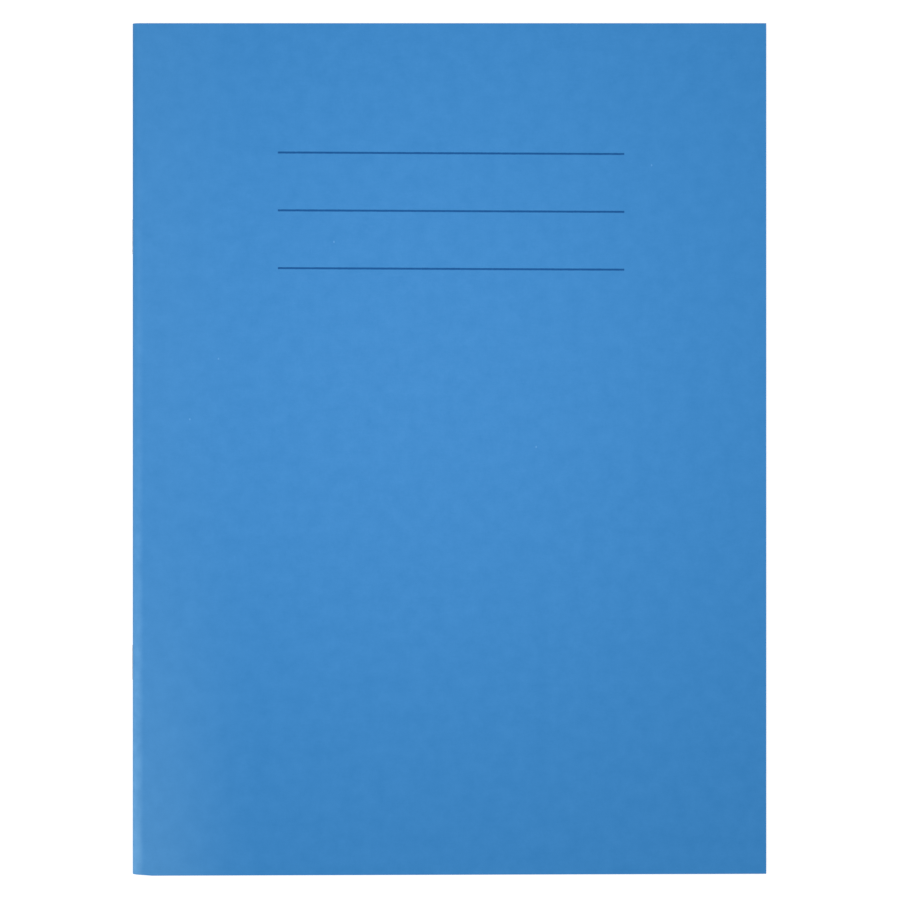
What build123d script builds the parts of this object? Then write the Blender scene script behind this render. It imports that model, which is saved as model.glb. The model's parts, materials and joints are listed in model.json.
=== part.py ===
from build123d import *
import os

os.makedirs("parts", exist_ok=True)

# Stapled exercise book, closed and lying on its back cover. All sizes are in millimetres.
# The spine fold is on the left (-X), the fore edge on the right (+X) and the head at +Y.
# Sheet 01 lies against the cover, and the last sheet is the middle one, where the staples close.
# Every sheet, and the cover, is one folded piece: two flat leaves and the fold that joins them.
# All folds are nested about one line, the fold axis, along which the staple ends lie.

# Driving dimensions: the book
book_width = 238.0
book_height = 320.0
sheet_count = 16
paper_thickness = 0.10
card_thickness = 0.28
fold_run = 4.0

# Driving dimensions: the two staples, of stitching wire rolled flat with broken edges
wire_width = 0.50
wire_thickness = 0.40
wire_edge_break = 0.12
crown_length = 13.0
clinch_end_gap = 1.5
bend_inner_radius = 0.075
staple_spacing = 160.0
crown_bed_depth = 0.15

# Fits: the air between nested folds, between the two middle leaves, round the clinched wire,
# round a leg in its hole, and round a crown pressed into the card
fold_gap = 0.012
centre_gap = 0.03
clinch_clearance = 0.05
pierce_clearance = 0.03
bed_clearance = 0.02

# Folds: the middle one wraps the clinched wire, and each sheet outwards wraps the one before it
middle_fold_radius = wire_width / 2 + clinch_clearance
fold_pitch = paper_thickness + fold_gap
card_inner_radius = middle_fold_radius + sheet_count * fold_pitch
card_outer_radius = card_inner_radius + card_thickness

# Leaves: they close up on the middle of the book and share out the thickness that the folds set
middle_leaf_level = centre_gap / 2
leaf_pitch = (card_inner_radius - middle_leaf_level) / sheet_count

# Staples: the crown is bedded in the nose of the cover and the ends lie on the fold axis
bend_radius = wire_thickness / 2 + bend_inner_radius
crown_reach = card_outer_radius + wire_thickness / 2 - crown_bed_depth
leg_offset = crown_length / 2
slit_length = wire_width + 2 * pierce_clearance
slit_width = wire_thickness + 2 * pierce_clearance
staple_places = [-staple_spacing / 2, staple_spacing / 2]
leg_places = [(place + side * leg_offset, 0) for place in staple_places for side in (-1, 1)]

# Frame: the origin is under the middle of the whole book, on the face that it lies on
axis_height = card_outer_radius
fore_edge_reach = book_width - card_outer_radius
crown_outer_reach = crown_reach + wire_thickness / 2
fold_axis_x = (crown_outer_reach - fore_edge_reach) / 2
leaf_width = fore_edge_reach - fold_run
leaf_middle_x = fold_axis_x + fold_run + leaf_width / 2

# The fold section looks down the spine from the head, and the nose plane faces out of the spine
head_of_axis = (fold_axis_x, book_height / 2, axis_height)
middle_of_axis = (fold_axis_x, 0, axis_height)
fold_section = Plane(origin=head_of_axis, x_dir=(1, 0, 0), z_dir=(0, -1, 0))
nose_plane = Plane(origin=middle_of_axis, x_dir=(0, 1, 0), z_dir=(-1, 0, 0))


def leaf_plane(height_from_axis):
    """A level plane at a height above or below the fold axis, under the middle of a leaf."""
    return Plane(origin=(leaf_middle_x, 0, axis_height + height_from_axis))


def ogee(start, end):
    """Two arcs from one point to another that leave and arrive level."""
    middle = ((start[0] + end[0]) / 2, (start[1] + end[1]) / 2)
    TangentArc(start, middle, tangent=(end[0] - start[0], 0))
    TangentArc(end, middle, tangent=(start[0] - end[0], 0))


def fold_outline(radius, level, thickness):
    """Section of a folded sheet: a half round about the fold axis, eased to the leaves' level."""
    outer_radius = radius + thickness
    outer_level = level + thickness
    ogee((fold_run, outer_level), (0, outer_radius))
    ThreePointArc((0, outer_radius), (-outer_radius, 0), (0, -outer_radius))
    ogee((0, -outer_radius), (fold_run, -outer_level))
    Line((fold_run, -outer_level), (fold_run, -level))
    ogee((fold_run, -level), (0, -radius))
    ThreePointArc((0, -radius), (-radius, 0), (0, radius))
    ogee((0, radius), (fold_run, level))
    Line((fold_run, level), (fold_run, outer_level))


def card_outline():
    """Section of the cover's spine: a half round with a flat flange to each cover."""
    Line((fold_run, card_outer_radius), (0, card_outer_radius))
    ThreePointArc((0, card_outer_radius), (-card_outer_radius, 0), (0, -card_outer_radius))
    Line((0, -card_outer_radius), (fold_run, -card_outer_radius))
    Line((fold_run, -card_outer_radius), (fold_run, -card_inner_radius))
    Line((fold_run, -card_inner_radius), (0, -card_inner_radius))
    ThreePointArc((0, -card_inner_radius), (-card_inner_radius, 0), (0, card_inner_radius))
    Line((0, card_inner_radius), (fold_run, card_inner_radius))
    Line((fold_run, card_inner_radius), (fold_run, card_outer_radius))


def save(builder, name):
    """Label a finished piece and write it."""
    builder.part.label = name
    export_step(builder.part, f"parts/{name}.step")


# Sheets, from the one against the cover to the middle one
for number in range(1, sheet_count + 1):
    sheets_inside = sheet_count - number
    leaf_level = middle_leaf_level + sheets_inside * leaf_pitch
    fold_radius = middle_fold_radius + sheets_inside * fold_pitch

    with BuildPart() as front_leaf:
        with BuildSketch(leaf_plane(leaf_level)):
            Rectangle(leaf_width, book_height)
        extrude(amount=paper_thickness)
    save(front_leaf, f"sheet_{number:02d}_front_leaf")

    with BuildPart() as sheet_fold:
        with BuildSketch(fold_section):
            with BuildLine():
                fold_outline(fold_radius, leaf_level, paper_thickness)
            make_face()
        extrude(amount=book_height)
        with BuildSketch(nose_plane):
            with Locations(*leg_places):
                Rectangle(slit_width, slit_length)
        extrude(amount=fold_radius + fold_pitch, mode=Mode.SUBTRACT)
    save(sheet_fold, f"sheet_{number:02d}_fold")

    with BuildPart() as rear_leaf:
        with BuildSketch(leaf_plane(-leaf_level)):
            Rectangle(leaf_width, book_height)
        extrude(amount=-paper_thickness)
    save(rear_leaf, f"sheet_{number:02d}_rear_leaf")

# Front cover: the flat of the card over the sheets
with BuildPart() as front_cover:
    with BuildSketch(leaf_plane(card_inner_radius)):
        Rectangle(leaf_width, book_height)
    extrude(amount=card_thickness)
front_cover.part.label = "front_cover"
export_step(front_cover.part, "parts/front_cover.step")

# Back cover: the flat of the card that the book lies on
with BuildPart() as back_cover:
    with BuildSketch(leaf_plane(-card_inner_radius)):
        Rectangle(leaf_width, book_height)
    extrude(amount=-card_thickness)
back_cover.part.label = "back_cover"
export_step(back_cover.part, "parts/back_cover.step")

# Cover spine: the bend of the card, pierced by the legs and dented by the crowns
crown_x = fold_axis_x - crown_reach
crown_line = Plane(origin=(crown_x, 0, axis_height), x_dir=(0, 0, 1), z_dir=(0, 1, 0))
bed_width = wire_width + 2 * bed_clearance
bed_thickness = wire_thickness + 2 * bed_clearance
bed_length = crown_length + bed_thickness
with BuildPart() as cover_spine:
    with BuildSketch(fold_section):
        with BuildLine():
            card_outline()
        make_face()
    extrude(amount=book_height)
    with BuildSketch(nose_plane):
        with Locations(*leg_places):
            Rectangle(slit_width, slit_length)
    extrude(amount=crown_reach, mode=Mode.SUBTRACT)
    for place in staple_places:
        with BuildSketch(crown_line.offset(place)):
            Rectangle(bed_width, bed_thickness)
        extrude(amount=bed_length / 2, both=True, mode=Mode.SUBTRACT)
cover_spine.part.label = "cover_spine"
export_step(cover_spine.part, "parts/cover_spine.step")

# Staples: a crown outside the spine, two legs through every fold, and the ends folded in
# along the fold axis towards each other
for name, place in zip(("tail_staple", "head_staple"), staple_places):
    wire_corners = [
        (fold_axis_x, place + clinch_end_gap / 2, axis_height),
        (fold_axis_x, place + leg_offset, axis_height),
        (crown_x, place + leg_offset, axis_height),
        (crown_x, place - leg_offset, axis_height),
        (fold_axis_x, place - leg_offset, axis_height),
        (fold_axis_x, place - clinch_end_gap / 2, axis_height),
    ]
    with BuildPart() as staple:
        with BuildLine() as wire:
            FilletPolyline(*wire_corners, radius=bend_radius)
        with BuildSketch(Plane(origin=wire.line @ 0, x_dir=(0, 0, 1), z_dir=wire.line % 0)) as section:
            Rectangle(wire_width, wire_thickness)
            chamfer(section.vertices(), wire_edge_break)
        sweep()
    save(staple, name)

print(f"closed book {book_width:.1f} x {book_height:.1f} x {2 * card_outer_radius:.3f} mm")
print(f"fold axis at x {fold_axis_x:.4f}, z {axis_height:.4f}; leaf pitch {leaf_pitch:.4f}")
print(f"crowns stand {crown_outer_reach - card_outer_radius:.3f} mm proud of the spine")
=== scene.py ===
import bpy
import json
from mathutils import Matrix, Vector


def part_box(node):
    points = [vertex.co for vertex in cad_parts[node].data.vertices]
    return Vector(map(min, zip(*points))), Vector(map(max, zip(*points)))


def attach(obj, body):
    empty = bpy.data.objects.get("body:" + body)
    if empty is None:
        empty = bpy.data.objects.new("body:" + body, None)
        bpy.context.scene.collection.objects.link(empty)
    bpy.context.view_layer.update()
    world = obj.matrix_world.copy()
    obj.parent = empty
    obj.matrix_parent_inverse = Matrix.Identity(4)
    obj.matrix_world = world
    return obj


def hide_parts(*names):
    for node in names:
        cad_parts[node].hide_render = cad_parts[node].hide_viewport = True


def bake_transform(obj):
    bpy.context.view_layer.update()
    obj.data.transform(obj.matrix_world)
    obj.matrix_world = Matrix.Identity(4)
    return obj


bl_info = {
    "name": "Stapled Exercise Book",
    "version": (1, 0, 0),
    "blender": (4, 5, 0),
    "location": "3D View > Sidebar > Exercise Book",
    "description": "Dresses the exercise book in dyed card, ruled paper and wire, and lights it",
    "category": "Object",
}

import json
import math
import random

import bmesh
import bpy
from mathutils import Matrix, Vector

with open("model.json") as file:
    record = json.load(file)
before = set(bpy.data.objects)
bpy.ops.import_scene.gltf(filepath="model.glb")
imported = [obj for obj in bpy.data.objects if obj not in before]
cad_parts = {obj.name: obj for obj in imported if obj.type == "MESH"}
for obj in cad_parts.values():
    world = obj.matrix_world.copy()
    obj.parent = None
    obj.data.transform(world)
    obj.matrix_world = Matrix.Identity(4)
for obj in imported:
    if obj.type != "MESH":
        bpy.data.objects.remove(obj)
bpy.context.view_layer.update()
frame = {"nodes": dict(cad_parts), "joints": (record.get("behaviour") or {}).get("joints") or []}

# Places that the pieces share with the frame, in metres. The book lies on its back cover with the
# spine fold at -X and the head at +Y, and every sheet is folded about one line, the fold axis.
JOINTS = {joint["name"]: joint for joint in frame["joints"]}
FOLD_AXIS = Vector(JOINTS["open_at_middle"]["pos_m"])
CREASE_X = JOINTS["turn_front_cover"]["pos_m"][0]
SHEETS = sorted(node[: -len("_fold")] for node in frame["nodes"] if node.endswith("_fold"))
FLAT_LOW, FLAT_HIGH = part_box("front_cover")
TAIL, HEAD = FLAT_LOW.y, FLAT_HIGH.y
FORE_EDGE = FLAT_HIGH.x
FOLD_RUN = FLAT_LOW.x - FOLD_AXIS.x
CARD_THICKNESS = FLAT_HIGH.z - FLAT_LOW.z
CARD_RADIUS = FLAT_HIGH.z - FOLD_AXIS.z
CARD_NOSE_X = FOLD_AXIS.x - CARD_RADIUS

FRONT, REAR = 1, -1
QUARTER_TURN = math.pi / 2
TRIM_SEED = 11
# A rear half stops this far short at head and tail: the halves overlap inside an opened fold
REAR_SHORT = 0.000005

# Steps across a sheet: its quarter round, each arc that eases it to the leaf, the run that bends as
# the book opens, and the leaf; then its steps from tail to head
ROUND_STEPS = 10
EASE_STEPS = 3
BEND_STEPS = 16
LEAF_STEPS = 8
SHEET_LENGTH_STEPS = 6

# Steps across the card: its quarter round, the flange beside it, the run that curls, and the flat;
# then its steps from tail to head. The run is a little longer than the curl.
CARD_ROUND_STEPS = 18
FLANGE_STEPS = 12
CURL_STEPS = {FRONT: 32, REAR: 16}
CURL_MARGIN = 1.1
FLAT_STEPS = 16
CARD_LENGTH_STEPS = 16

# Sides of the wire's section, steps of its bends, and how near its halves are merged
WIRE_SIDES = 16
WIRE_BEND_STEPS = 6
MERGE_DISTANCE = 1e-6

# The angle past which an edge stays sharp, and the slope past which a face counts as square on
SHARP_ANGLE = math.radians(35)
SQUARE_ON = 0.7

# Pulp: the spans of noise in which its clouds and fibres lie, the stretch of the long and the cross
# fibres, the share that lies across, and the stretch, reach and rarity of stray flecks
CLOUD_SPAN = (0.25, 0.75)
FIBRE_SPAN = (0.3, 0.7)
LONG_STRETCH = (0.35, 1.6, 1.0)
CROSS_STRETCH = (1.7, 0.5, 1.0)
CROSS_SHARE = 0.4
FLECK_STRETCH = (0.6, 0.45, 1.0)
FLECK_REACH = (0.018, 0.034)
FLECK_RARITY = 0.988

# Print: softness 0 is a hard edge at half the line's weight, and 1 fades from its middle. Then the
# raggedness of an edge for each weight, the ink of the ruling and the margin, a margin's weight
# for each weight of the ruling, and the stretch in which a line's end fades
PRINT_SOFTNESS = 0.5
FEINT_SOFTNESS = 1.0
RAGGEDNESS = 0.35
FEINT_INK = 0.5
MARGIN_INK = 0.45
MARGIN_WEIGHT = 1.2
LINE_END = (-0.0001, 0.0001)

# Card: its tone by clouds and fibres, mottling, flecks, roughness, bump (strength and depth) and
# gloss, and how the ink covers and roughens it
CARD_CLOUD_TONE = (-0.020, 0.020)
CARD_FIBRE_TONE = (0.984, 1.016)
MOTTLE_DEPTH = (0.0, 0.046)
FLECK_DEPTH = 0.35
CARD_ROUGHNESS = (0.66, 0.56)
CARD_BUMP = (0.35, 0.00004)
CARD_GLOSS = 0.35
INK_COVER = (0.86, 1.0)
INK_ROUGHENING = 0.3

# Wear and painted light along the spine: how far from the nose the card is rubbed, real wear with a
# painted highlight on the round of the fold, and how far a painted sheen spreads beside it, each
# from full to none, the run along the spine in which both deepen towards the tail, the depth at the
# two ends of the run, and the clouds that make the rubbed band patchy
RUBBED_AND_LIT_REACH = (0.0036, 0.0060)
RUBBED_AND_LIT_RUN = (HEAD * 0.75, TAIL * 0.85)
RUBBED_AND_LIT_DEPTH = (0.02, 0.30)
SHEEN_REACH = (0.0040, 0.0500)
SHEEN_RUN = (TAIL * 0.2, TAIL * 0.97)
SHEEN_DEPTH = (0.05, 0.20)
PATCH_SPAN = (0.35, 0.65)
PATCH_DEPTH = (0.75, 1.15)

# Paper: the sizes of its clouds and fibres, then its tone, roughness, bump and gloss
PAPER_CLOUD_SIZE = 0.004
PAPER_FIBRE_SIZE = 0.0006
PAPER_CLOUD_TONE = (-0.012, 0.012)
PAPER_FIBRE_TONE = (0.99, 1.01)
PAPER_ROUGHNESS = (0.82, 0.74)
PAPER_BUMP = (0.25, 0.00002)
PAPER_GLOSS = 0.3

# Wire: dull spots and drawn lines for each metre, the span of their noise, and what they change
DULL_SCALE = 900.0
DRAWN_SCALE = (9000.0, 300.0, 9000.0)
WIRE_SPAN = (0.3, 0.7)
WIRE_TONE = (0.82, 1.06)
WIRE_ROUGHNESS = (0.24, 0.4)
WIRE_BUMP = (0.2, 0.00001)

# Stage: the place, aim and width of each lamp, the floor, and the camera's sensor in millimetres
KEY_LAMP = ((-0.029, 0.037, 0.335), (0.068, 0.097, 0), 0.16)
SIDE_LAMP = ((-0.55, -0.30, 0.22), (-0.117, -0.10, 0), 0.25)
FLOOR_LEVEL = -0.0003
FLOOR_REACH = 4.0
FLOOR_GREY = 0.55
FLOOR_GLOW = 0.75
WHITE = (1.0, 1.0, 1.0, 1.0)
SENSOR_WIDTH = 36.0
FAR_CLIP = 20.0


class EXERCISEBOOK_PG_card(bpy.types.PropertyGroup):
    """The folded card cover and the lines printed on its front"""

    colour: bpy.props.FloatVectorProperty(
        name="Card", description="Colour of the card, dyed right through",
        subtype="COLOR", size=3, min=0, max=1, default=(0.0247, 0.2280, 0.5736))
    # Pale tint for flecks, mottling and rubbed wear, also painted on as the highlight and sheen
    # along the spine
    wear_and_sheen_colour: bpy.props.FloatVectorProperty(
        name="Rubbed fold", description="Colour of the card where the spine fold is rubbed",
        subtype="COLOR", size=3, min=0, max=1, default=(0.2000, 0.5000, 0.8600))
    ink_colour: bpy.props.FloatVectorProperty(
        name="Line ink", description="Colour of the three writing lines",
        subtype="COLOR", size=3, min=0, max=1, default=(0.0005, 0.0750, 0.2680))
    cloud_size: bpy.props.FloatProperty(
        name="Cloud size", description="Size of the clouds in the card's formation",
        unit="LENGTH", subtype="DISTANCE", min=0.0005, default=0.0065)
    fibre_size: bpy.props.FloatProperty(
        name="Fibre size", description="Size of the fibres on the card's face",
        unit="LENGTH", subtype="DISTANCE", min=0.0001, default=0.0010)
    curl: bpy.props.FloatProperty(
        name="Curl", description="How far from the crease the front cover bends as it turns",
        unit="LENGTH", subtype="DISTANCE", min=0.001, default=0.0045)
    tail_slant: bpy.props.FloatProperty(
        name="Tail slant", description="How far the tail is cut out of square, up to the fore edge",
        unit="ROTATION", subtype="ANGLE", min=0, default=math.radians(0.178))
    tail_nick: bpy.props.FloatProperty(
        name="Tail nick", description="How far the tail edge draws in at the nose of the spine",
        unit="LENGTH", subtype="DISTANCE", min=0, default=0.00056)
    nick_run: bpy.props.FloatProperty(
        name="Nick run", description="How far from the nose of the spine the tail edge draws in",
        unit="LENGTH", subtype="DISTANCE", min=0.001, default=0.0075)
    line_from_spine: bpy.props.FloatProperty(
        name="Lines from spine", description="Distance from the spine edge to the lines' left ends",
        unit="LENGTH", subtype="DISTANCE", default=0.0547)
    line_length: bpy.props.FloatProperty(
        name="Line length", description="Length of each writing line",
        unit="LENGTH", subtype="DISTANCE", min=0.001, default=0.1300)
    line_from_head: bpy.props.FloatProperty(
        name="First line", description="Distance from the head to the middle of the first line",
        unit="LENGTH", subtype="DISTANCE", default=0.04882)
    line_spacing: bpy.props.FloatProperty(
        name="Line spacing", description="Distance between writing lines",
        unit="LENGTH", subtype="DISTANCE", min=0.001, default=0.02170)
    line_count: bpy.props.IntProperty(
        name="Lines", description="Number of writing lines", min=1, default=3)
    line_weight: bpy.props.FloatProperty(
        name="Line weight", description="Thickness of a writing line",
        unit="LENGTH", subtype="DISTANCE", min=0.0001, default=0.00074)
    line_skew: bpy.props.FloatProperty(
        name="Print skew", description="How far the print is turned, down to the right",
        unit="ROTATION", subtype="ANGLE", default=math.radians(0.26))


class EXERCISEBOOK_PG_paper(bpy.types.PropertyGroup):
    """The folded sheets and their ruling"""

    colour: bpy.props.FloatVectorProperty(
        name="Paper", description="Colour of the writing paper",
        subtype="COLOR", size=3, min=0, max=1, default=(0.8700, 0.8600, 0.8200))
    feint_colour: bpy.props.FloatVectorProperty(
        name="Feint", description="Colour of the ruled lines",
        subtype="COLOR", size=3, min=0, max=1, default=(0.3600, 0.5000, 0.6600))
    margin_colour: bpy.props.FloatVectorProperty(
        name="Margin", description="Colour of the margin line",
        subtype="COLOR", size=3, min=0, max=1, default=(0.6900, 0.2300, 0.2600))
    feint_spacing: bpy.props.FloatProperty(
        name="Ruling", description="Distance between ruled lines",
        unit="LENGTH", subtype="DISTANCE", min=0.001, default=0.008)
    feint_from_head: bpy.props.FloatProperty(
        name="First rule", description="Distance from the head to the first ruled line",
        unit="LENGTH", subtype="DISTANCE", default=0.028)
    feint_weight: bpy.props.FloatProperty(
        name="Rule weight", description="Thickness of a ruled line",
        unit="LENGTH", subtype="DISTANCE", min=0.00005, default=0.00062)
    margin_width: bpy.props.FloatProperty(
        name="Margin width", description="Distance of the margin line from the left edge of a page",
        unit="LENGTH", subtype="DISTANCE", default=0.025)
    outer_bend: bpy.props.FloatProperty(
        name="Outer bend", description="How far from its fold the outermost sheet bends",
        unit="LENGTH", subtype="DISTANCE", min=0.005, default=0.008)
    bend_step: bpy.props.FloatProperty(
        name="Bend step", description="How much further each sheet inwards bends",
        unit="LENGTH", subtype="DISTANCE", min=0, default=0.0005)
    trim_scatter: bpy.props.FloatProperty(
        name="Trim scatter", description="How far the trimmed edges of the sheets differ",
        unit="LENGTH", subtype="DISTANCE", min=0, default=0.00008)


class EXERCISEBOOK_PG_wire(bpy.types.PropertyGroup):
    """The two staples"""

    colour: bpy.props.FloatVectorProperty(
        name="Wire", description="Colour of the bright steel wire",
        subtype="COLOR", size=3, min=0, max=1, default=(0.6200, 0.6250, 0.6350))
    clinch_gap: bpy.props.FloatProperty(
        name="Clinch gap", description="Gap between the two ends folded in at the middle sheet",
        unit="LENGTH", subtype="DISTANCE", min=0, default=0.0015)
    bend_radius: bpy.props.FloatProperty(
        name="Bend radius", description="Radius of the wire's bends, at its middle line",
        unit="LENGTH", subtype="DISTANCE", min=0.0001, default=0.000275)


class EXERCISEBOOK_PG_stage(bpy.types.PropertyGroup):
    """The floor, lamps and camera"""

    camera_height: bpy.props.FloatProperty(
        name="Camera height", description="Height of the camera over the front cover",
        unit="LENGTH", subtype="DISTANCE", min=0.3, default=1.2)
    view_width: bpy.props.FloatProperty(
        name="View width", description="Width of the picture at the height of the front cover",
        unit="LENGTH", subtype="DISTANCE", min=0.1, default=0.33776)
    camera_x: bpy.props.FloatProperty(
        name="Camera X", description="Camera's place across the book",
        unit="LENGTH", subtype="DISTANCE", default=0.00042)
    camera_y: bpy.props.FloatProperty(
        name="Camera Y", description="Camera's place along the book",
        unit="LENGTH", subtype="DISTANCE", default=-0.00019)
    key_power: bpy.props.FloatProperty(
        name="Key lamp", description="Power of the soft lamp over the book",
        unit="POWER", min=0, default=0.462)
    side_power: bpy.props.FloatProperty(
        name="Side lamp", description="Power of the low lamp beyond the spine",
        unit="POWER", min=0, default=0.70)
    sky: bpy.props.FloatProperty(
        name="Room light", description="Strength of the even light from all round",
        min=0, default=0.584)


def spin_on(bm, end, centre, turn, steps):
    """Carry the open end of a profile round an arc about a line along Y; returns the new end."""
    made = bmesh.ops.spin(
        bm, geom=[end], cent=centre, axis=(0, 1, 0), dvec=(0, 0, 0),
        angle=turn, steps=steps, use_duplicate=False)
    return made["geom_last"][0]


def run_on(bm, end, x, steps):
    """Carry the open end of a profile level to x in equal steps; returns the new end."""
    step = (x - end.co.x) / steps
    for _ in range(steps):
        end = bmesh.ops.extrude_vert_indiv(bm, verts=[end])["verts"][0]
        bmesh.ops.translate(bm, verts=[end], vec=(step, 0, 0))
    return end


def ease_on(bm, end, run, drop):
    """Carry the open end over a run and down a drop by two arcs that leave and arrive level."""
    turn = 2 * math.atan2(drop, run)
    radius = run / 2 / math.sin(turn)
    centre = end.co + Vector((0, 0, -radius))
    low_centre = end.co + Vector((run, 0, radius - drop))
    end = spin_on(bm, end, centre, turn, EASE_STEPS)
    return spin_on(bm, end, low_centre, -turn, EASE_STEPS)


def verts_in(geometry):
    """The vertices among what an operator made."""
    return [part for part in geometry if isinstance(part, bmesh.types.BMVert)]


def edges_in(geometry):
    """The edges among what an operator made."""
    return [part for part in geometry if isinstance(part, bmesh.types.BMEdge)]


def draw_out(bm, tail, head, steps):
    """Draw the profile out along the book from tail to head."""
    edges = bm.edges[:]
    step = (head - tail) / steps
    for _ in range(steps):
        made = bmesh.ops.extrude_edge_only(bm, edges=edges)["geom"]
        bmesh.ops.translate(bm, verts=verts_in(made), vec=(0, step, 0))
        edges = [
            edge for edge in edges_in(made)
            if abs(edge.verts[0].co.y - edge.verts[1].co.y) < step / 2]


def trim_tail(bm, tail, settings):
    """Cut the tail edge as the whole book is: out of square, and drawn in beside the spine."""
    for vert in bm.verts:
        if vert.co.y - tail < CARD_THICKNESS:
            across = vert.co.x - CARD_NOSE_X
            drawn_in = max(1 - across / settings.nick_run, 0)
            vert.co.y += across * math.tan(settings.tail_slant) + drawn_in * settings.tail_nick


def thicken(bm, thickness, side):
    """Turn the outer face of a half outwards and give it thickness, inwards as far as the fold."""
    if side == REAR:
        about_axis = Matrix.Translation(-FOLD_AXIS)
        bmesh.ops.scale(bm, vec=(1, 1, -1), space=about_axis, verts=bm.verts[:])
    bm.normal_update()
    outermost = max(bm.faces, key=lambda face: face.calc_center_median().x)
    if outermost.normal.z * side < 0:
        bmesh.ops.reverse_faces(bm, faces=bm.faces[:])
    bmesh.ops.solidify(bm, geom=bm.faces[:], thickness=thickness)
    for vert in bm.verts:
        if (vert.co.z - FOLD_AXIS.z) * side < 0:
            vert.co.z = FOLD_AXIS.z


def along_sheet(place, radius):
    """Distance of a place from the middle of the fold, measured along the sheet."""
    across = place.x - FOLD_AXIS.x
    if across >= 0:
        return radius * QUARTER_TURN + across
    return radius * math.atan2(abs(place.z - FOLD_AXIS.z), -across)


def faces_out(face):
    """Whether a face looks away from the fold axis."""
    centre = face.calc_center_median()
    reach = Vector((min(centre.x - FOLD_AXIS.x, 0), 0, centre.z - FOLD_AXIS.z))
    return face.normal.dot(reach) > 0


def finish_piece(bm, name, materials):
    """Make the shaped mesh an object of the scene, smooth apart from its cut edges."""
    for face in bm.faces:
        face.smooth = True
    mesh = bpy.data.meshes.new(name)
    bm.to_mesh(mesh)
    bm.free()
    mesh.set_sharp_from_angle(angle=SHARP_ANGLE)
    for material in materials:
        mesh.materials.append(material)
    piece = bpy.data.objects.new(name, mesh)
    bpy.context.scene.collection.objects.link(piece)
    return piece


def new_group(name, inputs, outputs):
    """A shader node group with named sockets; returns its tree, input node and output node."""
    tree = bpy.data.node_groups.new(name, "ShaderNodeTree")
    for label, kind in inputs:
        tree.interface.new_socket(label, in_out="INPUT", socket_type=kind)
    for label, kind in outputs:
        tree.interface.new_socket(label, in_out="OUTPUT", socket_type=kind)
    return tree, tree.nodes.new("NodeGroupInput"), tree.nodes.new("NodeGroupOutput")


def place_node(tree, kind, values=(), **settings):
    """Add a node; values are (socket, number, colour or output to link)."""
    node = tree.nodes.new(kind)
    for setting, value in settings.items():
        setattr(node, setting, value)
    for socket, value in values:
        if isinstance(value, bpy.types.NodeSocket):
            tree.links.new(value, node.inputs[socket])
        else:
            node.inputs[socket].default_value = value
    return node


def sum_of(tree, operation, *values):
    """The output of a Math node over up to three values."""
    return place_node(tree, "ShaderNodeMath", enumerate(values), operation=operation).outputs[0]


def mixed(tree, factor, first, second, blend="MIX"):
    """The colour between two colours."""
    node = place_node(
        tree, "ShaderNodeMix", [(0, factor), (6, first), (7, second)],
        data_type="RGBA", blend_type=blend)
    return node.outputs[2]


def spread(tree, value, low, high, new_low, new_high, way="LINEAR"):
    """A value carried from one span to another, kept inside it."""
    node = place_node(
        tree, "ShaderNodeMapRange",
        [(0, value), (1, low), (2, high), (3, new_low), (4, new_high)],
        interpolation_type=way, clamp=True)
    return node.outputs[0]


def opaque(colour):
    """A colour with full cover, as a socket takes it."""
    return (*colour, 1.0)


def formation_group():
    """Cloudy formation, fibres and stray flecks of pressed pulp, on a place in metres."""
    tree, given, result = new_group(
        "pulp_formation",
        [("Place", "NodeSocketVector"), ("Cloud Size", "NodeSocketFloat"),
         ("Fibre Size", "NodeSocketFloat")],
        [("Clouds", "NodeSocketFloat"), ("Fibres", "NodeSocketFloat"),
         ("Flecks", "NodeSocketFloat")])

    def at_scale(size, stretch=(1, 1, 1)):
        """The place counted in sizes and stretched."""
        per_size = sum_of(tree, "DIVIDE", 1.0, size)
        scaled = place_node(
            tree, "ShaderNodeVectorMath",
            [(0, given.outputs["Place"]), ("Scale", per_size)], operation="SCALE")
        long_way = place_node(
            tree, "ShaderNodeVectorMath",
            [(0, scaled.outputs[0]), (1, stretch)], operation="MULTIPLY")
        return long_way.outputs[0]

    clouds = place_node(
        tree, "ShaderNodeTexNoise",
        [("Vector", at_scale(given.outputs["Cloud Size"])), ("Scale", 1.0),
         ("Detail", 6.0), ("Roughness", 0.62)],
        noise_dimensions="2D")
    long_fibres = place_node(
        tree, "ShaderNodeTexNoise",
        [("Vector", at_scale(given.outputs["Fibre Size"], LONG_STRETCH)), ("Scale", 1.0),
         ("Detail", 3.0), ("Distortion", 1.3)],
        noise_dimensions="2D")
    cross_fibres = place_node(
        tree, "ShaderNodeTexNoise",
        [("Vector", at_scale(given.outputs["Fibre Size"], CROSS_STRETCH)), ("Scale", 1.0),
         ("Detail", 2.0), ("Distortion", 0.9)],
        noise_dimensions="2D")
    fibres = sum_of(
        tree, "MULTIPLY_ADD", cross_fibres.outputs["Fac"], CROSS_SHARE,
        sum_of(tree, "MULTIPLY", long_fibres.outputs["Fac"], 1 - CROSS_SHARE))
    cells = place_node(
        tree, "ShaderNodeTexVoronoi",
        [("Vector", at_scale(given.outputs["Cloud Size"], FLECK_STRETCH)), ("Scale", 1.0),
         ("Randomness", 1.0)],
        voronoi_dimensions="2D", feature="F1")
    pick = place_node(tree, "ShaderNodeSeparateColor", [(0, cells.outputs["Color"])])
    near = spread(tree, cells.outputs["Distance"], *FLECK_REACH, 1.0, 0.0)
    rare = sum_of(tree, "GREATER_THAN", pick.outputs[0], FLECK_RARITY)
    tree.links.new(clouds.outputs["Fac"], result.inputs["Clouds"])
    tree.links.new(fibres, result.inputs["Fibres"])
    tree.links.new(sum_of(tree, "MULTIPLY", near, rare), result.inputs["Flecks"])
    return tree


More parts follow.
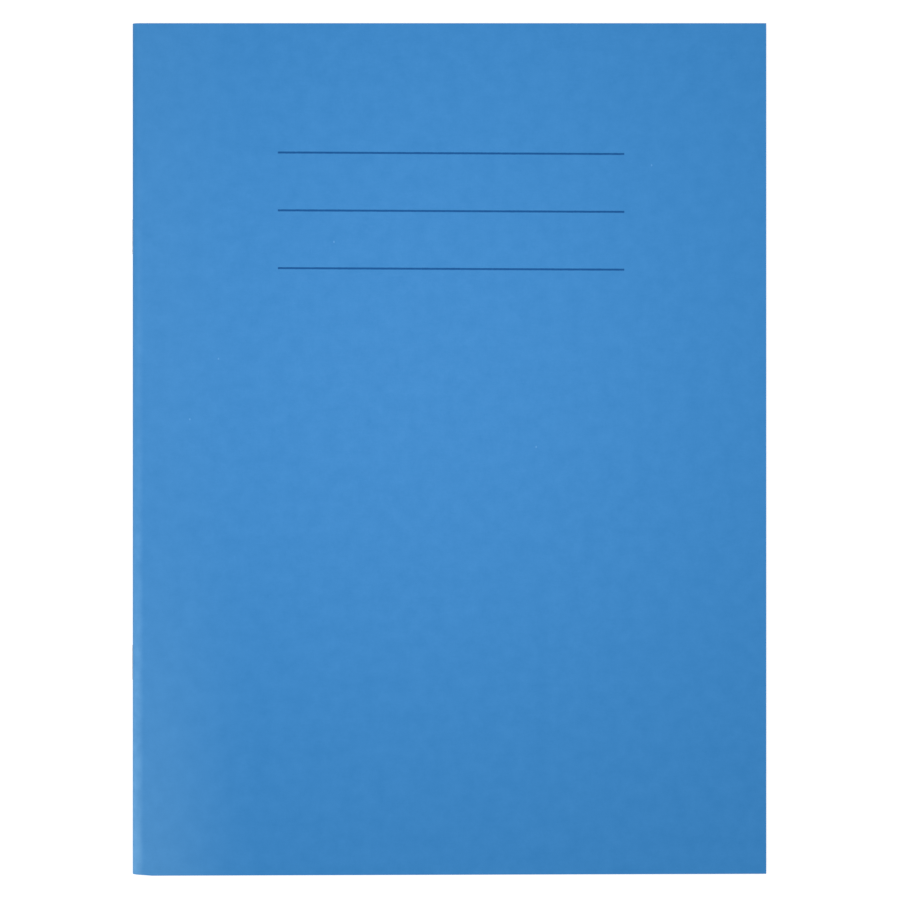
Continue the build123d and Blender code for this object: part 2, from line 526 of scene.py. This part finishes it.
def ruled_line_group():
    """How much ink lies at a distance from the middle of a printed line with ragged edges."""
    tree, given, result = new_group(
        "ruled_line",
        [("Distance", "NodeSocketFloat"), ("Weight", "NodeSocketFloat"),
         ("Softness", "NodeSocketFloat"), ("Ragged", "NodeSocketFloat")],
        [("Ink", "NodeSocketFloat")])
    away = sum_of(tree, "ABSOLUTE", given.outputs["Distance"])
    half = sum_of(tree, "MULTIPLY", given.outputs["Weight"], 0.5)
    rough = sum_of(tree, "SUBTRACT", given.outputs["Ragged"], 0.5)
    ragged = sum_of(tree, "MULTIPLY", given.outputs["Weight"], RAGGEDNESS)
    edge = sum_of(tree, "MULTIPLY_ADD", rough, ragged, half)
    fade = sum_of(tree, "MULTIPLY", edge, given.outputs["Softness"])
    inside = sum_of(tree, "SUBTRACT", edge, fade)
    outside = sum_of(tree, "ADD", edge, fade)
    ink = spread(tree, away, inside, outside, 1.0, 0.0, "SMOOTHSTEP")
    tree.links.new(ink, result.inputs["Ink"])
    return tree


def shared_group(name, make):
    """A node group by name, made the first time that it is asked for."""
    return bpy.data.node_groups.get(name) or make()


def new_material(name):
    """An empty node material; returns it with its tree and its surface shader."""
    material = bpy.data.materials.new(name)
    material.use_nodes = True
    tree = material.node_tree
    tree.nodes.clear()
    shader = tree.nodes.new("ShaderNodeBsdfPrincipled")
    output = tree.nodes.new("ShaderNodeOutputMaterial")
    tree.links.new(shader.outputs["BSDF"], output.inputs["Surface"])
    return material, tree, shader


def pulp(tree, cloud_size, fibre_size):
    """The place on the unrolled sheet, its two coordinates, and the pulp's formation there."""
    place = place_node(tree, "ShaderNodeUVMap", uv_map="Unrolled").outputs["UV"]
    parts = place_node(tree, "ShaderNodeSeparateXYZ", [(0, place)])
    group = place_node(
        tree, "ShaderNodeGroup", node_tree=shared_group("pulp_formation", formation_group))
    tree.links.new(place, group.inputs["Place"])
    group.inputs["Cloud Size"].default_value = cloud_size
    group.inputs["Fibre Size"].default_value = fibre_size
    return parts.outputs[0], parts.outputs[1], group


def pulp_tone(tree, group, cloud_tone, fibre_tone):
    """How light the pulp is, about one, from its clouds and fibres."""
    by_clouds = spread(tree, group.outputs["Clouds"], *CLOUD_SPAN, *cloud_tone)
    by_fibres = spread(tree, group.outputs["Fibres"], *FIBRE_SPAN, *fibre_tone)
    return sum_of(tree, "ADD", by_clouds, by_fibres)


def toned(tree, tone, colour):
    """A colour made lighter or darker."""
    node = place_node(tree, "ShaderNodeHueSaturation", [("Value", tone), ("Color", colour)])
    return node.outputs["Color"]


def dress(tree, shader, colour, roughness, height, bump):
    """Give a shader its colour, its roughness and a bump of some strength and depth."""
    strength, depth = bump
    tree.links.new(colour, shader.inputs["Base Color"])
    tree.links.new(roughness, shader.inputs["Roughness"])
    node = place_node(
        tree, "ShaderNodeBump", [("Strength", strength), ("Distance", depth), ("Height", height)])
    tree.links.new(node.outputs["Normal"], shader.inputs["Normal"])


def line_ink(tree, distance, weight, softness, ragged):
    """Ink of a printed line, from the distance to its middle."""
    group = place_node(
        tree, "ShaderNodeGroup", node_tree=shared_group("ruled_line", ruled_line_group))
    tree.links.new(distance, group.inputs["Distance"])
    tree.links.new(ragged, group.inputs["Ragged"])
    group.inputs["Weight"].default_value = weight
    group.inputs["Softness"].default_value = softness
    return group.outputs["Ink"]


def printed_lines(tree, settings, along, up, group):
    """Ink of the writing lines on the front cover."""
    middle = settings.line_from_spine + settings.line_length / 2
    from_middle = sum_of(tree, "SUBTRACT", along, middle)
    from_first = sum_of(tree, "SUBTRACT", HEAD - settings.line_from_head, up)
    straight = sum_of(tree, "MULTIPLY_ADD", from_middle, -math.tan(settings.line_skew), from_first)
    count = sum_of(tree, "ROUND", sum_of(tree, "DIVIDE", straight, settings.line_spacing))
    up_to_last = sum_of(tree, "MINIMUM", count, settings.line_count - 1.0)
    nearest = sum_of(tree, "MAXIMUM", up_to_last, 0.0)
    distance = sum_of(tree, "MULTIPLY_ADD", nearest, -settings.line_spacing, straight)
    ink = line_ink(tree, distance, settings.line_weight, PRINT_SOFTNESS, group.outputs["Fibres"])
    sideways = sum_of(tree, "ABSOLUTE", from_middle)
    past_end = sum_of(tree, "SUBTRACT", sideways, settings.line_length / 2)
    ends = spread(tree, past_end, *LINE_END, 1.0, 0.0)
    return sum_of(tree, "MULTIPLY", ink, ends)


def card_material(name, settings, printed):
    """Dyed card with clouds, fibres, a rubbed fold with a painted highlight and a painted sheen
    beside it, printed with writing lines on the front.
    """
    material, tree, shader = new_material(name)
    along, up, group = pulp(tree, settings.cloud_size, settings.fibre_size)
    clouds, fibres = group.outputs["Clouds"], group.outputs["Fibres"]
    mottle = spread(tree, clouds, *CLOUD_SPAN, *MOTTLE_DEPTH)
    nose = CARD_RADIUS * (1 - QUARTER_TURN)
    from_nose = sum_of(tree, "ABSOLUTE", sum_of(tree, "SUBTRACT", along, nose))
    # Rubbed band at the nose: real wear plus a painted highlight on the round of the fold, deeper
    # towards the tail
    rubbed_and_lit_band = spread(tree, from_nose, *RUBBED_AND_LIT_REACH, 1.0, 0.0, "SMOOTHSTEP")
    rubbed_and_lit_depth = spread(tree, up, *RUBBED_AND_LIT_RUN, *RUBBED_AND_LIT_DEPTH)
    patchy = spread(tree, clouds, *PATCH_SPAN, *PATCH_DEPTH)
    rubbed_and_lit = sum_of(tree, "MULTIPLY", sum_of(tree, "MULTIPLY", rubbed_and_lit_band, rubbed_and_lit_depth), patchy)
    # Painted sheen: a pale veil beside the spine, reaching about 50 mm and deeper towards the tail
    sheen_band = spread(tree, from_nose, *SHEEN_REACH, 1.0, 0.0, "SMOOTHSTEP")
    sheen_depth = spread(tree, up, *SHEEN_RUN, *SHEEN_DEPTH)
    all_over = sum_of(tree, "ADD", rubbed_and_lit, mottle)
    pale_and_sheen_share = sum_of(tree, "MULTIPLY_ADD", sheen_band, sheen_depth, all_over)
    # Mix to the pale tint: mottling, rubbed wear, painted highlight on the fold and painted sheen
    # beside it
    wear_and_sheen_tint = opaque(settings.wear_and_sheen_colour)
    colour = mixed(tree, pale_and_sheen_share, opaque(settings.colour), wear_and_sheen_tint)
    flecks = sum_of(tree, "MULTIPLY", group.outputs["Flecks"], FLECK_DEPTH)
    colour = mixed(tree, flecks, colour, wear_and_sheen_tint)
    tone = pulp_tone(tree, group, CARD_CLOUD_TONE, CARD_FIBRE_TONE)
    colour = toned(tree, tone, colour)
    roughness = spread(tree, fibres, *FIBRE_SPAN, *CARD_ROUGHNESS)
    if printed:
        ink = printed_lines(tree, settings, along, up, group)
        cover = sum_of(tree, "MULTIPLY", ink, spread(tree, fibres, *FIBRE_SPAN, *INK_COVER))
        colour = mixed(tree, cover, colour, opaque(settings.ink_colour))
        roughness = sum_of(tree, "MULTIPLY_ADD", cover, INK_ROUGHENING, roughness)
    dress(tree, shader, colour, roughness, fibres, CARD_BUMP)
    shader.inputs["Specular IOR Level"].default_value = CARD_GLOSS
    return material


def ruled_page(tree, settings, along, up, fibres, colour):
    """The paper's colour with the feint lines and the margin printed over it."""
    from_first = sum_of(tree, "SUBTRACT", HEAD - settings.feint_from_head, up)
    count = sum_of(tree, "ROUND", sum_of(tree, "DIVIDE", from_first, settings.feint_spacing))
    nearest = sum_of(tree, "MAXIMUM", count, 0.0)
    distance = sum_of(tree, "MULTIPLY_ADD", nearest, -settings.feint_spacing, from_first)
    feint = line_ink(tree, distance, settings.feint_weight, FEINT_SOFTNESS, fibres)
    from_margin = sum_of(tree, "SUBTRACT", along, settings.margin_width)
    margin_weight = settings.feint_weight * MARGIN_WEIGHT
    margin = line_ink(tree, from_margin, margin_weight, FEINT_SOFTNESS, fibres)
    feint = sum_of(tree, "MULTIPLY", feint, FEINT_INK)
    margin = sum_of(tree, "MULTIPLY", margin, MARGIN_INK)
    colour = mixed(tree, feint, colour, opaque(settings.feint_colour))
    return mixed(tree, margin, colour, opaque(settings.margin_colour))


def page_material(name, settings, ruled):
    """Writing paper, feint ruled with a margin; the map runs from the left edge of a page."""
    material, tree, shader = new_material(name)
    along, up, group = pulp(tree, PAPER_CLOUD_SIZE, PAPER_FIBRE_SIZE)
    fibres = group.outputs["Fibres"]
    tone = pulp_tone(tree, group, PAPER_CLOUD_TONE, PAPER_FIBRE_TONE)
    colour = toned(tree, tone, opaque(settings.colour))
    if ruled:
        colour = ruled_page(tree, settings, along, up, fibres, colour)
    roughness = spread(tree, fibres, *FIBRE_SPAN, *PAPER_ROUGHNESS)
    dress(tree, shader, colour, roughness, fibres, PAPER_BUMP)
    shader.inputs["Specular IOR Level"].default_value = PAPER_GLOSS
    return material


def wire_material(settings):
    """Bright drawn steel, with fine lines along the wire and a little dulling."""
    material, tree, shader = new_material("bright_wire")
    place = place_node(tree, "ShaderNodeTexCoord").outputs["Object"]
    dull = place_node(
        tree, "ShaderNodeTexNoise", [("Vector", place), ("Scale", DULL_SCALE), ("Detail", 4.0)])
    drawn = place_node(tree, "ShaderNodeMapping", [("Vector", place), ("Scale", DRAWN_SCALE)])
    noise = place_node(
        tree, "ShaderNodeTexNoise", [("Vector", drawn.outputs[0]), ("Scale", 1.0), ("Detail", 2.0)])
    lines = noise.outputs["Fac"]
    tone = spread(tree, dull.outputs["Fac"], *WIRE_SPAN, *WIRE_TONE)
    roughness = spread(tree, lines, *WIRE_SPAN, *WIRE_ROUGHNESS)
    dress(tree, shader, toned(tree, tone, opaque(settings.colour)), roughness, lines, WIRE_BUMP)
    shader.inputs["Metallic"].default_value = 1.0
    return material


class EXERCISEBOOK_OT_card_cover(bpy.types.Operator):
    """Fold the card cover round the sheets and print the writing lines on its front"""

    bl_idname = "exercise_book.card_cover"
    bl_label = "Card Cover"

    def unroll(self, bm, side):
        """Lay the card's map out flat from the spine edge: front to the right, back to the left."""
        layer = bm.loops.layers.uv.new("Unrolled")
        edge = CARD_RADIUS * (QUARTER_TURN - 1)
        for face in bm.faces:
            for loop in face.loops:
                away = along_sheet(loop.vert.co, CARD_RADIUS)
                loop[layer].uv = (side * away - edge, loop.vert.co.y)

    def bend_half(self, name, side, settings, material):
        """Half of the card's bend round the folds, from the nose of the spine to the flat."""
        bm = bmesh.new()
        short = REAR_SHORT if side == REAR else 0
        nose = bm.verts.new((CARD_NOSE_X, TAIL + short, FOLD_AXIS.z))
        end = spin_on(bm, nose, FOLD_AXIS, QUARTER_TURN, CARD_ROUND_STEPS)
        run_on(bm, end, FOLD_AXIS.x + FOLD_RUN, FLANGE_STEPS)
        draw_out(bm, TAIL + short, HEAD - short, CARD_LENGTH_STEPS)
        trim_tail(bm, TAIL + short, settings)
        thicken(bm, CARD_THICKNESS, side)
        self.unroll(bm, side)
        piece = finish_piece(bm, name, [material])
        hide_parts("cover_spine")
        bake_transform(piece)

    def flat(self, side, settings):
        """Flat of the card on one side of the book, with finer steps beside the fold."""
        bm = bmesh.new()
        start = bm.verts.new((FOLD_AXIS.x + FOLD_RUN, TAIL, FLAT_HIGH.z))
        end = run_on(bm, start, CREASE_X + settings.curl * CURL_MARGIN, CURL_STEPS[side])
        run_on(bm, end, FORE_EDGE, FLAT_STEPS)
        draw_out(bm, TAIL, HEAD, CARD_LENGTH_STEPS)
        trim_tail(bm, TAIL, settings)
        thicken(bm, CARD_THICKNESS, side)
        self.unroll(bm, side)
        return bm

    def execute(self, context):
        settings = context.scene.exercise_book_card
        plain = card_material("dyed_card", settings, printed=False)
        printed = card_material("dyed_card_printed", settings, printed=True)
        self.bend_half("cover_fold_front", FRONT, settings, plain)
        self.bend_half("cover_fold_rear", REAR, settings, plain)

        back = self.flat(REAR, settings)
        piece = finish_piece(back, "cover_back", [plain])
        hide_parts("back_cover")
        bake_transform(piece)

        front = self.flat(FRONT, settings)
        for face in front.faces:
            face.material_index = int(face.normal.z > SQUARE_ON)
        piece = finish_piece(front, "cover_front", [plain, printed])
        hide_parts("front_cover")
        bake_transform(piece)
        return {"FINISHED"}


class EXERCISEBOOK_OT_paper_sheets(bpy.types.Operator):
    """Fold the writing sheets into one another, each in two halves that bend at its fold"""

    bl_idname = "exercise_book.paper_sheets"
    bl_label = "Paper Sheets"

    def unroll(self, bm, side, radius, length):
        """Lay each page's map out from its left edge: the fold, or the fore edge of a left page."""
        layer = bm.loops.layers.uv.new("Unrolled")
        for face in bm.faces:
            right_hand = faces_out(face) == (side == FRONT)
            for loop in face.loops:
                away = along_sheet(loop.vert.co, radius)
                loop[layer].uv = (away if right_hand else length - away, loop.vert.co.y)

    def half(self, sheet, side, bend, trim, card, materials):
        """One half of a sheet, from the middle of its fold to the fore edge."""
        leaf = f"{sheet}_front_leaf" if side == FRONT else f"{sheet}_rear_leaf"
        leaf_low, leaf_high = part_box(leaf)
        thickness = leaf_high.z - leaf_low.z
        radius = FOLD_AXIS.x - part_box(f"{sheet}_fold")[0].x
        level = leaf_high.z - FOLD_AXIS.z if side == FRONT else FOLD_AXIS.z - leaf_low.z
        tail, head, fore_edge = trim
        bend_end = FOLD_AXIS.x + bend - radius

        bm = bmesh.new()
        nose = bm.verts.new((FOLD_AXIS.x - radius, tail, FOLD_AXIS.z))
        end = spin_on(bm, nose, FOLD_AXIS, QUARTER_TURN, ROUND_STEPS)
        end = ease_on(bm, end, FOLD_RUN, radius - level)
        end = run_on(bm, end, bend_end, BEND_STEPS)
        run_on(bm, end, fore_edge, LEAF_STEPS)
        draw_out(bm, tail, head, SHEET_LENGTH_STEPS)
        trim_tail(bm, tail, card)
        thicken(bm, thickness, side)
        self.unroll(bm, side, radius, radius * QUARTER_TURN + fore_edge - FOLD_AXIS.x)
        for face in bm.faces:
            at_fore_edge = face.normal.x > SQUARE_ON and face.calc_center_median().x > bend_end
            face.material_index = int(at_fore_edge or abs(face.normal.y) > SQUARE_ON)
        piece = finish_piece(bm, leaf.removesuffix("_leaf"), materials)
        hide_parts(leaf, f"{sheet}_fold")
        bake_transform(piece)

    def execute(self, context):
        settings = context.scene.exercise_book_paper
        card = context.scene.exercise_book_card
        materials = [
            page_material("ruled_paper", settings, ruled=True),
            page_material("cut_paper", settings, ruled=False),
        ]
        scatter = random.Random(TRIM_SEED)
        for number, sheet in enumerate(SHEETS):
            bend = settings.outer_bend + settings.bend_step * number
            tail = TAIL + scatter.uniform(0, settings.trim_scatter)
            head = HEAD - scatter.uniform(0, settings.trim_scatter)
            for side in (FRONT, REAR):
                short = REAR_SHORT if side == REAR else 0
                fore_edge = FORE_EDGE - scatter.uniform(0, settings.trim_scatter)
                trim = (tail + short, head - short, fore_edge)
                self.half(sheet, side, bend, trim, card, materials)
        return {"FINISHED"}


class EXERCISEBOOK_OT_wire_staples(bpy.types.Operator):
    """Bend the two wire staples through the spine and clinch their ends at the middle sheet"""

    bl_idname = "exercise_book.wire_staples"
    bl_label = "Wire Staples"

    def turned(self, bm, section, centre, turn):
        """Sweep the end section round a bend in the level of the fold axis."""
        made = bmesh.ops.spin(
            bm, geom=section, cent=centre, axis=(0, 0, 1), dvec=(0, 0, 0),
            angle=turn, steps=WIRE_BEND_STEPS, use_duplicate=False)
        return made["geom_last"]

    def drawn(self, bm, section, step):
        """Draw the end section straight on."""
        made = bmesh.ops.extrude_edge_only(bm, edges=edges_in(section))["geom"]
        ring = verts_in(made)
        bmesh.ops.translate(bm, verts=ring, vec=step)
        inside = set(ring)
        return ring + [edge for edge in edges_in(made) if inside.issuperset(edge.verts)]

    def bent_wire(self, low, high, settings):
        """The wire of a staple in its box: one half from clinch to crown, and its mirror image."""
        bend = settings.bend_radius
        half_thick = high.x - FOLD_AXIS.x
        half_wide = (high.z - low.z) / 2
        middle = (low.y + high.y) / 2
        leg = high.y - half_thick
        crown = low.x + half_thick
        clinch_end = middle + settings.clinch_gap / 2

        bm = bmesh.new()
        to_section = (
            Matrix.Translation((FOLD_AXIS.x, clinch_end, FOLD_AXIS.z))
            @ Matrix.Rotation(QUARTER_TURN, 4, "X"))
        flattened = Matrix.Diagonal((half_thick, half_wide, 1, 1))
        ring = bmesh.ops.create_circle(
            bm, cap_ends=True, segments=WIRE_SIDES, radius=1.0, matrix=flattened)
        bmesh.ops.transform(bm, matrix=to_section, verts=ring["verts"])
        section = ring["verts"] + bm.edges[:]
        section = self.drawn(bm, section, (0, leg - bend - clinch_end, 0))
        inner_bend = (FOLD_AXIS.x - bend, leg - bend, FOLD_AXIS.z)
        section = self.turned(bm, section, inner_bend, QUARTER_TURN)
        section = self.drawn(bm, section, (crown - FOLD_AXIS.x + 2 * bend, 0, 0))
        outer_bend = (crown + bend, leg - bend, FOLD_AXIS.z)
        section = self.turned(bm, section, outer_bend, QUARTER_TURN)
        self.drawn(bm, section, (0, middle - leg + bend, 0))
        about_middle = Matrix.Translation((0, -middle, 0))
        half = bm.verts[:] + bm.edges[:] + bm.faces[:]
        copy = bmesh.ops.duplicate(bm, geom=half)["geom"]
        bmesh.ops.scale(bm, vec=(1, -1, 1), space=about_middle, verts=verts_in(copy))
        bmesh.ops.remove_doubles(bm, verts=bm.verts[:], dist=MERGE_DISTANCE)
        bmesh.ops.recalc_face_normals(bm, faces=bm.faces[:])
        return bm

    def execute(self, context):
        settings = context.scene.exercise_book_wire
        material = wire_material(settings)
        for node, name in (("head_staple", "staple_head"), ("tail_staple", "staple_tail")):
            low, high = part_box(node)
            bm = self.bent_wire(low, high, settings)
            piece = finish_piece(bm, name, [material])
            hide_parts(node)
            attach(piece, "spine")
        return {"FINISHED"}


class EXERCISEBOOK_OT_photo_stage(bpy.types.Operator):
    """Lay the white floor, hang the soft lamps and set the camera over the book"""

    bl_idname = "exercise_book.photo_stage"
    bl_label = "Photo Stage"

    def seen_directly(self, tree):
        """One on rays that show the background, as the camera, gloss and glass see it."""
        rays = tree.nodes.new("ShaderNodeLightPath")
        direct = sum_of(
            tree, "MAXIMUM", rays.outputs["Is Camera Ray"], rays.outputs["Is Glossy Ray"])
        return sum_of(tree, "MAXIMUM", direct, rays.outputs["Is Transmission Ray"])

    def lay_floor(self):
        """Lay a white floor that takes the book's shadow."""
        material = bpy.data.materials.new("white_sweep")
        material.use_nodes = True
        tree = material.node_tree
        tree.nodes.clear()
        grey = opaque([FLOOR_GREY] * 3)
        matt = place_node(tree, "ShaderNodeBsdfDiffuse", [("Color", grey)])
        strength = sum_of(tree, "MULTIPLY", self.seen_directly(tree), FLOOR_GLOW)
        glow = place_node(tree, "ShaderNodeEmission", [("Color", WHITE), ("Strength", strength)])
        both = place_node(tree, "ShaderNodeAddShader", [(0, matt.outputs[0]), (1, glow.outputs[0])])
        output = tree.nodes.new("ShaderNodeOutputMaterial")
        tree.links.new(both.outputs[0], output.inputs["Surface"])
        bm = bmesh.new()
        bmesh.ops.create_grid(bm, x_segments=1, y_segments=1, size=FLOOR_REACH)
        bmesh.ops.translate(bm, verts=bm.verts[:], vec=(0, 0, FLOOR_LEVEL))
        floor = finish_piece(bm, "floor", [material])

    def light_room(self, scene, strength):
        """Light the book evenly from all round, in front of plain white."""
        world = bpy.data.worlds.new("studio")
        scene.world = world
        world.use_nodes = True
        tree = world.node_tree
        tree.nodes.clear()
        lit = place_node(
            tree, "ShaderNodeBackground", [("Color", WHITE), ("Strength", strength)])
        seen = place_node(tree, "ShaderNodeBackground", [("Color", WHITE), ("Strength", 1.0)])
        direct = self.seen_directly(tree)
        both = place_node(
            tree, "ShaderNodeMixShader", [(0, direct), (1, lit.outputs[0]), (2, seen.outputs[0])])
        output = tree.nodes.new("ShaderNodeOutputWorld")
        tree.links.new(both.outputs[0], output.inputs["Surface"])

    def hang_lamp(self, scene, name, place, target, size, power):
        """Hang a soft round lamp that looks at its target and stays out of the picture."""
        lamp = bpy.data.lights.new(name, "AREA")
        lamp.shape = "DISK"
        lamp.size = size
        lamp.energy = power
        holder = bpy.data.objects.new(name, lamp)
        holder.location = place
        holder.rotation_euler = (Vector(target) - Vector(place)).to_track_quat("-Z", "Y").to_euler()
        holder.visible_camera = False
        scene.collection.objects.link(holder)

    def execute(self, context):
        scene = context.scene
        settings = scene.exercise_book_stage
        scene.view_settings.view_transform = "Standard"
        self.lay_floor()
        self.light_room(scene, settings.sky)
        self.hang_lamp(scene, "key_lamp", *KEY_LAMP, settings.key_power)
        self.hang_lamp(scene, "side_lamp", *SIDE_LAMP, settings.side_power)
        camera = bpy.data.cameras.new("camera")
        camera.sensor_width = SENSOR_WIDTH
        camera.lens = SENSOR_WIDTH * settings.camera_height / settings.view_width
        camera.clip_end = FAR_CLIP
        stand = bpy.data.objects.new("camera", camera)
        height = FLAT_HIGH.z + settings.camera_height
        stand.location = (settings.camera_x, settings.camera_y, height)
        scene.collection.objects.link(stand)
        scene.camera = stand
        return {"FINISHED"}


class EXERCISEBOOK_PT_sidebar(bpy.types.Panel):
    """The pieces of the exercise book and their settings"""

    bl_idname = "EXERCISEBOOK_PT_sidebar"
    bl_label = "Exercise Book"
    bl_space_type = "VIEW_3D"
    bl_region_type = "UI"
    bl_category = "Exercise Book"

    def draw(self, context):
        for operator, group in STEPS:
            box = self.layout.box()
            box.operator(operator.bl_idname)
            settings = getattr(context.scene, group)
            for setting in settings.bl_rna.properties:
                if setting.identifier not in {"rna_type", "name"}:
                    box.prop(settings, setting.identifier)


STEPS = (
    (EXERCISEBOOK_OT_card_cover, "exercise_book_card"),
    (EXERCISEBOOK_OT_paper_sheets, "exercise_book_paper"),
    (EXERCISEBOOK_OT_wire_staples, "exercise_book_wire"),
    (EXERCISEBOOK_OT_photo_stage, "exercise_book_stage"),
)
GROUPS = {
    "exercise_book_card": EXERCISEBOOK_PG_card,
    "exercise_book_paper": EXERCISEBOOK_PG_paper,
    "exercise_book_wire": EXERCISEBOOK_PG_wire,
    "exercise_book_stage": EXERCISEBOOK_PG_stage,
}


def register():
    for name, group in GROUPS.items():
        bpy.utils.register_class(group)
        setattr(bpy.types.Scene, name, bpy.props.PointerProperty(type=group))
    for operator, _ in STEPS:
        bpy.utils.register_class(operator)
    bpy.utils.register_class(EXERCISEBOOK_PT_sidebar)


def unregister():
    bpy.utils.unregister_class(EXERCISEBOOK_PT_sidebar)
    for operator, _ in reversed(STEPS):
        bpy.utils.unregister_class(operator)
    for name, group in GROUPS.items():
        delattr(bpy.types.Scene, name)
        bpy.utils.unregister_class(group)


def main():
    register()
    bpy.ops.exercise_book.card_cover()
    bpy.ops.exercise_book.paper_sheets()
    bpy.ops.exercise_book.wire_staples()
    bpy.ops.exercise_book.photo_stage()


if __name__ == "__main__":
    main()
